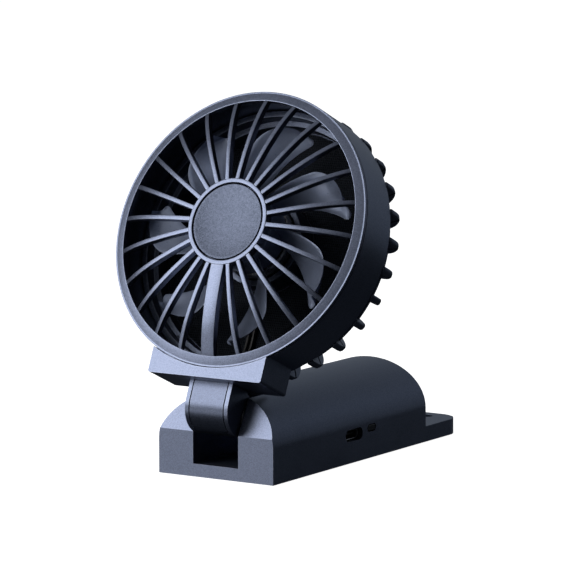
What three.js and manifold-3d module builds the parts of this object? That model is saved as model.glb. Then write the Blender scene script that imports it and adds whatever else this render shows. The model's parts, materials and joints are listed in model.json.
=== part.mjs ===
// Folding handheld fan: a flat-bottomed handle that also serves as a desk stand, with a round fan
// head on a short hinged arm. Millimetres, +Z up, +Y to the back, +X to the right as the fan is
// faced. The origin is on the underside, straight below the tilt hinge. Inside the fan group, Y is
// counted from the handle's front face.
import * as THREE from 'three';
import { mergeVertices } from 'three/addons/utils/BufferGeometryUtils.js';
import Module from 'manifold-3d';

const wasm = await Module();
wasm.setup();

// ---- driving dimensions ----
const GAP = 0.3; // clearance between neighbouring pieces
const ROUND_STEPS = 72; // facets around the rim and the housing
const MIDDLE_STEPS = 40; // facets around the hubs and the motor
const CAGE_STEPS = 60; // facets around the rear cage, two to each fin
const SMALL_STEPS = 16; // facets around pins, screws and bores

const HANDLE_WIDTH = 42;
const HANDLE_LENGTH = 91;
const SPRING_HEIGHT = 11.2; // height where the side walls turn into the arched top
const ARCH_RISE = 15.06;
const FRONT_FACE_HEIGHT = 14.14; // upright part of the front face
const FRONT_SLOPE = 0.55; // how far the upper front face leans back per mm of height
const WALL = 1.7;
const FLOOR = 2.1;

const SLOT_HALF = 8.3;
const SLOT_LENGTH = 26;
const SLOT_FLOOR = 4;
const CAVITY_FRONT = SLOT_LENGTH + 2;
const EAR_POCKET_FRONT = 14;
const EAR_WALL = 2;

const TAIL_END = 114.6;
const TAIL_THICKNESS = 5.1;
const TAIL_CORNER = 8;
const STRAP_SLOT_HALF = 13;
const STRAP_SLOT_WIDTH = 3.6;
const STRAP_SLOT_Y = 108.4;

const COVER_THICKNESS = 2;
const BOSS_X = 15.5;
const BOSS_FRONT_Y = 31;
const BOSS_REAR_Y = 85.6;
const BOSS_RADIUS = 2.4;

const PORT_Y = 47;
const PORT_Z = 8.8;
const PORT_LENGTH = 10.2;
const PORT_HEIGHT = 3.9;
const WINDOW_Y = 57.5;
const WINDOW_Z = 9.6;
const WINDOW_LENGTH = 4.7;
const WINDOW_HEIGHT = 1.8;
const BUTTON_Y = 47;
const BUTTON_Z = 9;
const BUTTON_LENGTH = 8.6;
const BUTTON_HEIGHT = 4.2;
const BUTTON_PROUD = 0.6;

const BOARD_BOTTOM = 5.7;
const BOARD_TOP = 6.9;

const PIVOT_Y = 6.9;
const PIVOT_Z = 18.5;
const PIN_RADIUS = 1.8;
const PIN_REACH = 15.2;
const CAP_RADIUS = 2.9;
const HEAD_TILT = THREE.MathUtils.degToRad(23.7); // lean of the head behind the upright

const ARM_HALF = 7.8;
const NOSE_RADIUS = 8.4;
const NOSE_RISE = 1.5; // nose centre above the pivot, along the arm
const NOSE_FORWARD = 4.7; // nose centre in front of the pivot
const BARREL_RADIUS = 5.6;
const ARM_TOP = 10.4;
const ARM_BACK = 4.2;
const PANEL_HALF = 6.15;
const PANEL_DEPTH = 1.2;
const PANEL_BACK = 2.5; // where the panel ends under the nose, in front of the pivot
const ARM_SCREW_X = 5;
const ARM_SCREW_FORWARD = 8.2;
const CHANNEL_HALF = 2; // passage for the motor leads
const CHANNEL_BACK = 6.3;
const CHANNEL_FRONT = 9;

const HEAD_RISE = 55.3; // pivot to the centre of the fan, along the arm
const HEAD_FORWARD = 17.96; // pivot to the rim's front edge
const HEAD_RADIUS = 44.4;
const OPENING_RADIUS = 41.1;
const HOUSING_INNER = 42.7;
const HOUSING_DEPTH = 16.2;
const RIM_DEPTH = 1.5;
const RIM_LIP = 0.55; // width of the flat lip around the rim
const RIM_LIP_DROP = 0.45; // the lip's depth behind the head's front plane
const SKIRT_DEPTH = 2.6;
const BLOCK_HALF = 20.6;
const BLOCK_BOTTOM = 7.4 - HEAD_RISE;
const BLOCK_DEPTH = 15.3;

const SPOKE_COUNT = 24;
const SPOKE_WIDTH = 1.4;
const WIDE_BAR_WIDTH = 4.6;
const SPOKE_DEPTH = 2.2;
const HUB_RING_OUTER = 13.97;
const HUB_RING_INNER = 12.5;
const HUB_FRONT = 6.6; // grille hub in front of the rim's edge
const HUB_CAP_RADIUS = 12.18;
const HUB_CAP_DISH = 0.85; // hollow in the middle of the cap

const FIN_COUNT = 30;
const FIN_FIRST = 5.6; // degrees
const FIN_WIDTH = 2.1;
const FIN_OUTER = 44.8;
const CAGE_BACK = -27;
const CAGE_CORNER = 7.2;
const SPIGOT_INNER = 40.4;
const SPIGOT_FRONT = -12.5;
const BOWL_OUTER = 40.6;
const BOWL_INNER = 38.6;
const BOWL_BACK = -21.9;
const PLATE_THICKNESS = 1;
const FILTER_THICKNESS = 0.4;
const INTAKE_INNER = 17;
const INTAKE_OUTER = 31;
const INTAKE_WIDTH = 1.4;
const MOTOR_RADIUS = 12.2;
const MOTOR_BACK = -22.9;
const MOTOR_FRONT = -10.6;
const CUP_OUTER = 14.4;
const CUP_INNER = MOTOR_RADIUS + GAP;
const CUP_FRONT = -14;
const CUP_BACK = -25.2;
const MOTOR_SCREW_X = 8.5;

const BLADE_COUNT = 7;
const BLADE_TIP_RADIUS = 35.2;
const IMPELLER_HUB_RADIUS = 11.8;
const BLADE_THICKNESS = 1.1;
const SHAFT_RADIUS = 1;

// ---- geometry helpers ----

// A closed geometry becomes a solid, with its faces pointing out.
function toSolid(geometry) {
  const plain = geometry.index ? geometry.toNonIndexed() : geometry.clone();
  plain.deleteAttribute('normal');
  plain.deleteAttribute('uv');
  const merged = mergeVertices(plain, 1e-4);
  const position = merged.attributes.position;
  const triangles = [];
  let volume = 0;
  const a = new THREE.Vector3();
  const b = new THREE.Vector3();
  const c = new THREE.Vector3();
  for (let i = 0; i < merged.index.count; i += 3) {
    const [p, q, r] = [merged.index.getX(i), merged.index.getX(i + 1), merged.index.getX(i + 2)];
    if (p === q || q === r || r === p) continue;
    triangles.push([p, q, r]);
    a.fromBufferAttribute(position, p);
    b.fromBufferAttribute(position, q);
    c.fromBufferAttribute(position, r);
    volume += a.dot(b.cross(c));
  }
  const outward = volume < 0 ? triangles.map(([p, q, r]) => [p, r, q]) : triangles;
  const vertProperties = new Float32Array(position.array);
  const triVerts = new Uint32Array(outward.flat());
  return new wasm.Manifold(new wasm.Mesh({ numProp: 3, vertProperties, triVerts }));
}

function toGeometry(solid) {
  const mesh = solid.getMesh();
  const geometry = new THREE.BufferGeometry();
  geometry.setAttribute('position', new THREE.BufferAttribute(mesh.vertProperties, 3));
  geometry.setIndex(new THREE.BufferAttribute(mesh.triVerts, 1));
  return geometry;
}

const join = (...solids) => solids.reduce((whole, piece) => whole.add(piece));
const cut = (body, ...tools) => tools.reduce((rest, tool) => rest.subtract(tool), body);

function box(x0, x1, y0, y1, z0, z1) {
  const geometry = new THREE.BoxGeometry(x1 - x0, y1 - y0, z1 - z0);
  geometry.translate((x0 + x1) / 2, (y0 + y1) / 2, (z0 + z1) / 2);
  return toSolid(geometry);
}

function extrudeZ(shape, z0, z1, curveSegments = 12) {
  const geometry = new THREE.ExtrudeGeometry(shape, { depth: z1 - z0, bevelEnabled: false, curveSegments });
  geometry.translate(0, 0, z0);
  return toSolid(geometry);
}

// The shape's plane is X-Z; it is extruded from y0 to y1.
function extrudeY(shape, y0, y1, curveSegments = 12) {
  const geometry = new THREE.ExtrudeGeometry(shape, { depth: y1 - y0, bevelEnabled: false, curveSegments });
  geometry.rotateX(Math.PI / 2);
  geometry.translate(0, y1, 0);
  return toSolid(geometry);
}

// The shape's plane is Y-Z; it is extruded from x0 to x1.
function extrudeX(shape, x0, x1, curveSegments = 12) {
  const geometry = new THREE.ExtrudeGeometry(shape, { depth: x1 - x0, bevelEnabled: false, curveSegments });
  const [alongY, alongZ, alongX] = [
    new THREE.Vector3(0, 1, 0), new THREE.Vector3(0, 0, 1), new THREE.Vector3(1, 0, 0),
  ];
  geometry.applyMatrix4(new THREE.Matrix4().makeBasis(alongY, alongZ, alongX));
  geometry.translate(x0, 0, 0);
  return toSolid(geometry);
}

function rodX(radius, x0, x1, y, z, steps = SMALL_STEPS) {
  const geometry = new THREE.CylinderGeometry(radius, radius, x1 - x0, steps);
  geometry.rotateZ(Math.PI / 2);
  geometry.translate((x0 + x1) / 2, y, z);
  return toSolid(geometry);
}

function rodY(radius, y0, y1, x, z, steps = SMALL_STEPS) {
  const geometry = new THREE.CylinderGeometry(radius, radius, y1 - y0, steps);
  geometry.translate(x, (y0 + y1) / 2, z);
  return toSolid(geometry);
}

function rodZ(radius, z0, z1, x = 0, y = 0, steps = SMALL_STEPS) {
  const geometry = new THREE.CylinderGeometry(radius, radius, z1 - z0, steps);
  geometry.rotateX(Math.PI / 2);
  geometry.translate(x, y, (z0 + z1) / 2);
  return toSolid(geometry);
}

// A closed or on-axis profile of [radius, height] points, turned about Z.
function turned(profile, steps = SMALL_STEPS) {
  const points = profile.map(([radius, height]) => new THREE.Vector2(radius, height));
  const geometry = new THREE.LatheGeometry(points, steps);
  geometry.rotateX(Math.PI / 2);
  return toSolid(geometry);
}

// A ring of rectangular section about Z.
function ring(inner, outer, z0, z1, steps = ROUND_STEPS) {
  return turned([[inner, z0], [outer, z0], [outer, z1], [inner, z1], [inner, z0]], steps);
}

// A pill outline: two straight sides with round ends, its length along the first axis.
function pill(length, height, centreA, centreB) {
  const radius = height / 2;
  const reach = length / 2 - radius;
  const shape = new THREE.Shape();
  shape.absarc(centreA + reach, centreB, radius, -Math.PI / 2, Math.PI / 2, false);
  shape.absarc(centreA - reach, centreB, radius, Math.PI / 2, 3 * Math.PI / 2, false);
  return shape;
}

function roundedRectangle(a0, a1, b0, b1, radius) {
  const shape = new THREE.Shape();
  shape.absarc(a1 - radius, b0 + radius, radius, -Math.PI / 2, 0, false);
  shape.absarc(a1 - radius, b1 - radius, radius, 0, Math.PI / 2, false);
  shape.absarc(a0 + radius, b1 - radius, radius, Math.PI / 2, Math.PI, false);
  shape.absarc(a0 + radius, b0 + radius, radius, Math.PI, 3 * Math.PI / 2, false);
  return shape;
}

// ---- materials and scene assembly ----

const finish = (color, roughness, metalness = 0) => () => (
  new THREE.MeshStandardMaterial({ color, roughness, metalness })
);
const slatePaint = finish(0x4a5264, 0.42, 0.55);
const paleSlate = finish(0x6d7890, 0.4, 0.55);
const bladeSlate = finish(0x424856, 0.35, 0.3);
const darkPlastic = finish(0x17191d, 0.6);
const steel = finish(0xb4b7bb, 0.3, 1);
const nickel = finish(0xa8aab0, 0.25, 1);
const brass = finish(0xb89a4d, 0.35, 1);
const ferrite = finish(0x2d2c2c, 0.75, 0.2);
const copper = finish(0xa45f35, 0.4, 0.9);
const boardGreen = finish(0x123d2a, 0.5);
const pouchSilver = finish(0xa9adb2, 0.35, 0.7);
const foamGrey = finish(0x4b4b4d, 0.95);
const windowMilk = finish(0xd9dde2, 0.3);
const smokedPlastic = finish(0x24262c, 0.25);
const blackRubber = finish(0x101011, 0.7);
const meshBlack = finish(0x0e0f11, 0.9);

const fan = new THREE.Group();
fan.position.y = -PIVOT_Y;
const head = new THREE.Group();
head.position.set(0, PIVOT_Y, PIVOT_Z);
head.rotation.x = Math.PI / 2 - HEAD_TILT;
fan.add(head);
const disc = new THREE.Group();
disc.position.set(0, HEAD_RISE, HEAD_FORWARD);
head.add(disc);

function place(group, name, solid, material) {
  const mesh = new THREE.Mesh(toGeometry(solid), material());
  mesh.name = name;
  group.add(mesh);
}

// ---- handle ----

// Flat bottom, upright sides and an arched top, seen along Y.
function archOutline(halfWidth, rise, bottom) {
  const shape = new THREE.Shape();
  shape.moveTo(-halfWidth, bottom);
  shape.lineTo(halfWidth, bottom);
  shape.lineTo(halfWidth, SPRING_HEIGHT);
  shape.absellipse(0, SPRING_HEIGHT, halfWidth, rise, 0, Math.PI, false, 0);
  return shape;
}

// Everything in front of the sloping upper front face.
function frontSlopeTool() {
  const top = 40;
  const shape = new THREE.Shape();
  shape.moveTo(0, FRONT_FACE_HEIGHT);
  shape.lineTo((top - FRONT_FACE_HEIGHT) * FRONT_SLOPE, top);
  shape.lineTo(-5, top);
  shape.lineTo(-5, FRONT_FACE_HEIGHT);
  return extrudeX(shape, -HANDLE_WIDTH, HANDLE_WIDTH);
}

function handleBody() {
  const half = HANDLE_WIDTH / 2;
  const arch = extrudeY(archOutline(half, ARCH_RISE, 0), 0, HANDLE_LENGTH, 18);
  const tailShape = new THREE.Shape();
  tailShape.moveTo(-half, HANDLE_LENGTH - 1);
  tailShape.lineTo(half, HANDLE_LENGTH - 1);
  tailShape.absarc(half - TAIL_CORNER, TAIL_END - TAIL_CORNER, TAIL_CORNER, 0, Math.PI / 2, false);
  tailShape.absarc(TAIL_CORNER - half, TAIL_END - TAIL_CORNER, TAIL_CORNER, Math.PI / 2, Math.PI, false);
  const tail = extrudeZ(tailShape, 0, TAIL_THICKNESS, 8);
  return cut(join(arch, tail), frontSlopeTool());
}

function handleCavity() {
  const half = HANDLE_WIDTH / 2 - WALL;
  const rear = HANDLE_LENGTH - WALL;
  const hollow = extrudeY(archOutline(half, ARCH_RISE - WALL, -1), EAR_POCKET_FRONT, rear, 12);
  const slotBlock = box(
    -SLOT_HALF - EAR_WALL, SLOT_HALF + EAR_WALL, EAR_POCKET_FRONT - 1, CAVITY_FRONT, -2, 40,
  );
  const frontFloor = box(-half - 1, half + 1, EAR_POCKET_FRONT - 1, CAVITY_FRONT, -2, FLOOR);
  return cut(hollow, slotBlock, frontFloor);
}

const bossPlaces = [
  [-BOSS_X, BOSS_FRONT_Y], [BOSS_X, BOSS_FRONT_Y], [-BOSS_X, BOSS_REAR_Y], [BOSS_X, BOSS_REAR_Y],
];
const COVER_BOTTOM = 0.3;
const COVER_TOP = COVER_BOTTOM + COVER_THICKNESS;

function makeHandleShell(outside) {
  let shell = cut(outside, handleCavity());
  for (const [x, y] of bossPlaces) {
    shell = shell.add(rodZ(BOSS_RADIUS, COVER_TOP + GAP, 21, x, y).intersect(outside));
    shell = shell.subtract(rodZ(1.1, 0, 12, x, y));
  }
  const slot = box(-SLOT_HALF, SLOT_HALF, -2, SLOT_LENGTH, SLOT_FLOOR, 40);
  const strapSlot = extrudeZ(
    pill(2 * STRAP_SLOT_HALF, STRAP_SLOT_WIDTH, 0, STRAP_SLOT_Y), -1, TAIL_THICKNESS + 1, 8,
  );
  const port = extrudeX(pill(PORT_LENGTH, PORT_HEIGHT, PORT_Y, PORT_Z), 18, 22, 8);
  const windowHole = extrudeX(
    pill(WINDOW_LENGTH + 2 * GAP, WINDOW_HEIGHT + 2 * GAP, WINDOW_Y, WINDOW_Z), 18, 22, 6,
  );
  const buttonHole = extrudeX(
    pill(BUTTON_LENGTH + 2 * GAP, BUTTON_HEIGHT + 2 * GAP, BUTTON_Y, BUTTON_Z), -22, -18, 8,
  );
  const pinBore = rodX(PIN_RADIUS + GAP, -22, PIN_REACH + GAP, PIVOT_Y, PIVOT_Z);
  const capSeat = rodX(CAP_RADIUS, -22, -PIN_REACH + 2, PIVOT_Y, PIVOT_Z);
  const leadHole = box(-1.6, 1.6, SLOT_LENGTH - 1, CAVITY_FRONT + 1, 10, 13);
  return cut(shell, slot, strapSlot, port, windowHole, buttonHole, pinBore, capSeat, leadHole);
}

function makeBottomCover() {
  const half = HANDLE_WIDTH / 2 - WALL - GAP;
  const outline = roundedRectangle(-half, half, CAVITY_FRONT + GAP, HANDLE_LENGTH - WALL - GAP, 0.8);
  let cover = extrudeZ(outline, COVER_BOTTOM, COVER_TOP, 3);
  for (const y of [38, 60]) {
    cover = cover.add(box(-13, 13, y, y + 1.6, COVER_TOP - 0.5, BOARD_BOTTOM - GAP));
  }
  for (const [x, y] of bossPlaces) {
    cover = cover.subtract(rodZ(2.3, 0, 1.5, x, y));
    cover = cover.subtract(rodZ(1.1, 0, 4, x, y));
  }
  return cover;
}

// A pan head at the bottom and a plain shank going up, with a cross recess in the head.
function makeScrew(headRadius, headHeight, shankRadius, length) {
  const body = turned([
    [0, 0], [headRadius, 0], [headRadius, headHeight], [shankRadius, headHeight],
    [shankRadius, length], [0, length],
  ]);
  const recess = headHeight * 0.55;
  const reach = headRadius * 0.55;
  const slotWidth = headRadius * 0.14;
  const along = box(-reach, reach, -slotWidth, slotWidth, -1, recess);
  const across = box(-slotWidth, slotWidth, -reach, reach, -1, recess);
  return cut(body, along, across);
}

function addCoverScrews() {
  bossPlaces.forEach(([x, y], i) => {
    const screw = makeScrew(1.95, 0.8, 0.8, 9).translate([x, y, 0.4]);
    place(fan, `cover_screw_${i + 1}`, screw, steel);
  });
}

function addElectronics() {
  const boardShape = roundedRectangle(-16.6, 17, 36, 66, 1);
  place(fan, 'main_board', extrudeZ(boardShape, BOARD_BOTTOM, BOARD_TOP, 3), boardGreen);
  const partBottom = BOARD_TOP + GAP;
  const shellFront = HANDLE_WIDTH / 2 - 1.5;
  const outer = extrudeX(pill(8.94, 3.2, PORT_Y, PORT_Z), shellFront - 7.3, shellFront, 6);
  const mouth = extrudeX(pill(8.34, 2.56, PORT_Y, PORT_Z), shellFront - 6.3, shellFront + 1, 6);
  place(fan, 'usb_receptacle', cut(outer, mouth), nickel);
  const tongue = box(
    shellFront - 5.9, shellFront - 1, PORT_Y - 3.3, PORT_Y + 3.3, PORT_Z - 0.35, PORT_Z + 0.35,
  );
  place(fan, 'usb_tongue', tongue, darkPlastic);
  const led = box(15.4, 17.6, WINDOW_Y - 1.4, WINDOW_Y + 1.4, partBottom, partBottom + 2.4);
  place(fan, 'status_led', led, windowMilk);
  const chip = box(-3, 3, 41, 47, partBottom, partBottom + 1);
  place(fan, 'charge_chip', chip, darkPlastic);
  const coil = extrudeZ(roundedRectangle(-3.2, 3.2, 52, 58.4, 1.2), partBottom, partBottom + 2.8, 3);
  place(fan, 'boost_inductor', coil, ferrite);
  const switchBody = box(-16.5, -12.5, BUTTON_Y - 2.6, BUTTON_Y + 2.6, partBottom, partBottom + 3.2);
  const nub = box(-17.3, -16.4, BUTTON_Y - 1.2, BUTTON_Y + 1.2, BUTTON_Z - 0.7, BUTTON_Z + 0.7);
  place(fan, 'power_switch', join(switchBody, nub), darkPlastic);
}

function addBattery() {
  const cellShape = roundedRectangle(-12.5, 12.5, 11, 18.6, 2);
  place(fan, 'battery_cell', extrudeY(cellShape, 33, 81, 4), pouchSilver);
  place(fan, 'battery_pad', box(-8.5, 8.5, 42, 72, 18.9, 21.2), foamGrey);
}

function makeLedWindow() {
  const side = HANDLE_WIDTH / 2;
  const face = pill(WINDOW_LENGTH, WINDOW_HEIGHT, WINDOW_Y, WINDOW_Z);
  const lip = pill(WINDOW_LENGTH + 1.8, WINDOW_HEIGHT + 1.8, WINDOW_Y, WINDOW_Z);
  const pipe = extrudeX(face, side - 2.6, side - 0.05, 6);
  const flange = extrudeX(lip, side - 2.8, side - 2, 6);
  return join(pipe, flange);
}

// A pill-shaped key with a flange inside the wall that stops it from falling out.
function makePowerButton() {
  const side = HANDLE_WIDTH / 2;
  const face = pill(BUTTON_LENGTH, BUTTON_HEIGHT, BUTTON_Y, BUTTON_Z);
  const lip = pill(BUTTON_LENGTH + 2, BUTTON_HEIGHT + 2, BUTTON_Y, BUTTON_Z);
  const key = extrudeX(face, -side - BUTTON_PROUD, -side + 2.6, 8);
  const flange = extrudeX(lip, -side + WALL + GAP, -side + 2.8, 8);
  return join(key, flange);
}

// ---- hinge ----

function addHinge(outside) {
  const pin = rodX(PIN_RADIUS, -PIN_REACH + 2.3, PIN_REACH, PIVOT_Y, PIVOT_Z);
  place(fan, 'hinge_pin', pin, steel);
  const capRod = rodX(CAP_RADIUS - GAP, -22, -PIN_REACH + 1.9, PIVOT_Y, PIVOT_Z);
  place(fan, 'hinge_pin_cap', capRod.intersect(outside), slatePaint);
  for (const [name, side] of [['friction_washer_left', -1], ['friction_washer_right', 1]]) {
    const faces = [side * (ARM_HALF - 0.6), side * (ARM_HALF + 0.2)].sort((p, q) => p - q);
    const disk = rodX(4.2, faces[0], faces[1], PIVOT_Y, PIVOT_Z);
    const hole = rodX(PIN_RADIUS + GAP, faces[0] - 1, faces[1] + 1, PIVOT_Y, PIVOT_Z);
    place(fan, name, cut(disk, hole), steel);
  }
}

// The arm seen from its side, in the head's own axes: Y up along the arm, Z to its front.
// A round nose at the front and a smaller barrel around the pivot are joined by tangent lines.
function armOutline(inset) {
  const nose = NOSE_RADIUS - inset;
  const barrel = BARREL_RADIUS - inset;
  const away = Math.atan2(-NOSE_FORWARD, -NOSE_RISE);
  const spread = Math.acos((nose - barrel) / Math.hypot(NOSE_RISE, NOSE_FORWARD));
  const front = NOSE_FORWARD + nose;
  const shape = new THREE.Shape();
  shape.moveTo(ARM_TOP, front);
  shape.lineTo(NOSE_RISE, front);
  shape.absarc(NOSE_RISE, NOSE_FORWARD, nose, Math.PI / 2, away - spread + 2 * Math.PI, false);
  shape.absarc(0, 0, barrel, away - spread + 2 * Math.PI, away + spread + 2 * Math.PI, false);
  shape.lineTo(7, ARM_BACK + inset);
  shape.lineTo(ARM_TOP, ARM_BACK + inset);
  return shape;
}

// The strip between the arm's outline and a copy of it set in by the depth. It runs from the top
// of the arm down its front and round the nose.
function armFrontStrip(halfWidth, depth, top, back) {
  const skin = cut(
    extrudeX(armOutline(0), -halfWidth, halfWidth, 16),
    extrudeX(armOutline(depth), -halfWidth - 1, halfWidth + 1, 16),
  );
  const aroundNose = box(-halfWidth - 2, halfWidth + 2, -30, NOSE_RISE, back, 30);
  const upFront = box(-halfWidth - 2, halfWidth + 2, NOSE_RISE - 1, top, NOSE_FORWARD + 3, 30);
  return skin.intersect(join(aroundNose, upFront));
}

function makeHingeArm() {
  const body = extrudeX(armOutline(0), -ARM_HALF, ARM_HALF, 16);
  const recess = armFrontStrip(PANEL_HALF + GAP, PANEL_DEPTH + GAP, ARM_TOP + 1, PANEL_BACK - GAP);
  const bore = rodX(PIN_RADIUS + GAP, -20, 20, 0, 0);
  const seats = [-1, 1].map((side) => {
    const ends = [side * (ARM_HALF - 0.9), side * (ARM_HALF + 1)].sort((p, q) => p - q);
    return rodX(4.5, ends[0], ends[1], 0, 0);
  });
  const channel = box(-CHANNEL_HALF, CHANNEL_HALF, 4, ARM_TOP + 1, CHANNEL_BACK, CHANNEL_FRONT);
  const screwHoles = [-ARM_SCREW_X, ARM_SCREW_X].map((x) => (
    rodY(1.1, 4, ARM_TOP + 1, x, ARM_SCREW_FORWARD)
  ));
  return cut(body, recess, bore, ...seats, channel, ...screwHoles);
}

// ---- fan head: Z is the fan's axis, 0 at the rim's front edge ----

function makeRearHousing() {
  const blockOutline = roundedRectangle(-BLOCK_HALF, BLOCK_HALF, BLOCK_BOTTOM, -35, 0.8);
  const block = extrudeZ(blockOutline, -BLOCK_DEPTH, 0, 3);
  const rimRoom = rodZ(HEAD_RADIUS + GAP, -RIM_DEPTH - GAP, 5, 0, 0, ROUND_STEPS);
  const wall = rodZ(HEAD_RADIUS, -HOUSING_DEPTH, -RIM_DEPTH - GAP, 0, 0, ROUND_STEPS);
  const inside = rodZ(HOUSING_INNER, -HOUSING_DEPTH - 1, 5, 0, 0, ROUND_STEPS);
  const pocketBack = ARM_BACK - GAP - HEAD_FORWARD;
  const pocketFront = NOSE_FORWARD + NOSE_RADIUS + GAP - HEAD_FORWARD;
  const pocketTop = ARM_TOP + GAP - HEAD_RISE;
  const pocket = box(-ARM_HALF - GAP, ARM_HALF + GAP, BLOCK_BOTTOM - 1, pocketTop, pocketBack, pocketFront);
  const channel = box(
    -CHANNEL_HALF, CHANNEL_HALF, BLOCK_BOTTOM, -40,
    CHANNEL_BACK - HEAD_FORWARD, CHANNEL_FRONT - HEAD_FORWARD,
  );
  const screwHoles = [-ARM_SCREW_X, ARM_SCREW_X].map((x) => (
    rodY(1.1, BLOCK_BOTTOM, -38, x, ARM_SCREW_FORWARD - HEAD_FORWARD)
  ));
  return cut(join(cut(block, rimRoom), wall), inside, pocket, channel, ...screwHoles);
}

// Screws that come down through the housing wall into the arm.
function addArmScrews() {
  [-ARM_SCREW_X, ARM_SCREW_X].forEach((x, i) => {
    const screw = makeScrew(1.9, 1, 0.8, 7);
    const seat = -Math.sqrt(HOUSING_INNER ** 2 - (ARM_SCREW_X + 1.9) ** 2) + 1 + GAP;
    const upright = screw.rotate([90, 0, 0]).translate([x, seat, ARM_SCREW_FORWARD - HEAD_FORWARD]);
    place(disc, `arm_screw_${i + 1}`, upright, steel);
  });
}

// Radius and height along the domed front of the grille, from hub to rim.
function domeOutline(shape) {
  shape.moveTo(HUB_RING_OUTER - 0.6, HUB_FRONT - 0.1);
  shape.quadraticCurveTo(32, HUB_FRONT - 0.8, OPENING_RADIUS + 0.4, 0.25);
}

function makeSpoke(width) {
  const shape = new THREE.Shape();
  domeOutline(shape);
  shape.lineTo(OPENING_RADIUS + 0.4, -1.6);
  shape.quadraticCurveTo(31, HUB_FRONT - 1.4 - SPOKE_DEPTH, HUB_RING_OUTER - 0.6, HUB_FRONT - SPOKE_DEPTH);
  return extrudeY(shape, -width / 2, width / 2, 4);
}

function makeFrontGrille() {
  const rim = turned([
    [HEAD_RADIUS, -RIM_DEPTH], [HEAD_RADIUS, -RIM_LIP_DROP], [HEAD_RADIUS - RIM_LIP, -RIM_LIP_DROP],
    [OPENING_RADIUS + 0.2, 0.45], [OPENING_RADIUS, 0.3], [OPENING_RADIUS, -SKIRT_DEPTH],
    [HOUSING_INNER - GAP, -SKIRT_DEPTH], [HOUSING_INNER - GAP, -RIM_DEPTH], [HEAD_RADIUS, -RIM_DEPTH],
  ], ROUND_STEPS);
  const hub = turned([
    [0, 3.6], [HUB_RING_OUTER, 3.6], [HUB_RING_OUTER, HUB_FRONT - 0.25],
    [HUB_RING_OUTER - 0.25, HUB_FRONT], [HUB_RING_INNER, HUB_FRONT], [HUB_RING_INNER, 4.3], [0, 4.3],
  ], MIDDLE_STEPS);
  let grille = join(rim, hub);
  const spoke = makeSpoke(SPOKE_WIDTH);
  const wideBar = makeSpoke(WIDE_BAR_WIDTH);
  for (let i = 0; i < SPOKE_COUNT; i += 1) {
    const bar = i === 0 ? wideBar : spoke;
    grille = grille.add(bar.rotate([0, 0, -90 + (i * 360) / SPOKE_COUNT]));
  }
  return grille;
}

function makeHubCap() {
  return turned([
    [0, 4.6], [HUB_CAP_RADIUS, 4.6], [HUB_CAP_RADIUS, HUB_FRONT - 0.3],
    [HUB_CAP_RADIUS - 0.3, HUB_FRONT - 0.05], [8.6, HUB_FRONT - 0.48 * HUB_CAP_DISH],
    [4.5, HUB_FRONT - 0.86 * HUB_CAP_DISH], [0, HUB_FRONT - HUB_CAP_DISH],
  ], MIDDLE_STEPS);
}

// One fin of the rear cage between two heights. It rises beside the motor cup, stands on the back
// plate as far as the cage's rounded corner, then on the outside of the bowl's wall.
function makeFin(z0, z1) {
  const inner = CUP_OUTER + GAP;
  const side = BOWL_OUTER - 0.5;
  const plateFront = BOWL_BACK - GAP;
  const top = -HOUSING_DEPTH - GAP;
  const corner = FIN_OUTER - CAGE_CORNER;
  const shape = new THREE.Shape();
  shape.moveTo(inner, CUP_BACK + 1);
  shape.lineTo(inner + 5, CAGE_BACK);
  shape.lineTo(corner, CAGE_BACK);
  shape.absarc(corner, CAGE_BACK + CAGE_CORNER, CAGE_CORNER, -Math.PI / 2, 0, false);
  shape.lineTo(FIN_OUTER, top);
  shape.lineTo(side, top);
  shape.lineTo(side, plateFront);
  shape.lineTo(inner, plateFront);
  const fin = extrudeY(shape, -FIN_WIDTH / 2, FIN_WIDTH / 2, 4);
  return fin.intersect(box(0, FIN_OUTER + 1, -FIN_WIDTH, FIN_WIDTH, z0, z1));
}

// The body with its fins, repeated around the fan's axis.
function withFins(body, fin) {
  let whole = body;
  for (let i = 0; i < FIN_COUNT; i += 1) {
    whole = whole.add(fin.rotate([0, 0, FIN_FIRST + (i * 360) / FIN_COUNT]));
  }
  return whole;
}

// The spigot that fits inside the housing and the bowl's wall behind it.
function makeRearRing() {
  const shoulder = -HOUSING_DEPTH - 1.3;
  const wall = turned([
    [SPIGOT_INNER, SPIGOT_FRONT], [HOUSING_INNER - GAP, SPIGOT_FRONT], [HOUSING_INNER - GAP, shoulder],
    [BOWL_OUTER, shoulder], [BOWL_OUTER, BOWL_BACK], [BOWL_INNER, BOWL_BACK],
    [BOWL_INNER, shoulder + 1], [SPIGOT_INNER, shoulder + 1], [SPIGOT_INNER, SPIGOT_FRONT],
  ], CAGE_STEPS);
  return withFins(wall, makeFin(BOWL_BACK, 0));
}

function makeRearGrille() {
  const plateFront = BOWL_BACK - GAP;
  let plate = ring(CUP_OUTER + GAP, BOWL_OUTER, plateFront - PLATE_THICKNESS, plateFront, CAGE_STEPS);
  const intake = box(INTAKE_INNER, INTAKE_OUTER, -INTAKE_WIDTH / 2, INTAKE_WIDTH / 2, -30, -20);
  for (let i = 0; i < FIN_COUNT; i += 1) {
    plate = plate.subtract(intake.rotate([0, 0, FIN_FIRST + ((i + 0.5) * 360) / FIN_COUNT]));
  }
  return withFins(plate, makeFin(CAGE_BACK, plateFront));
}

// A sheet of dust mesh over the inside of the back plate.
function makeDustFilter() {
  return ring(CUP_OUTER + GAP, BOWL_INNER - GAP, BOWL_BACK, BOWL_BACK + FILTER_THICKNESS, CAGE_STEPS);
}

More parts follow.
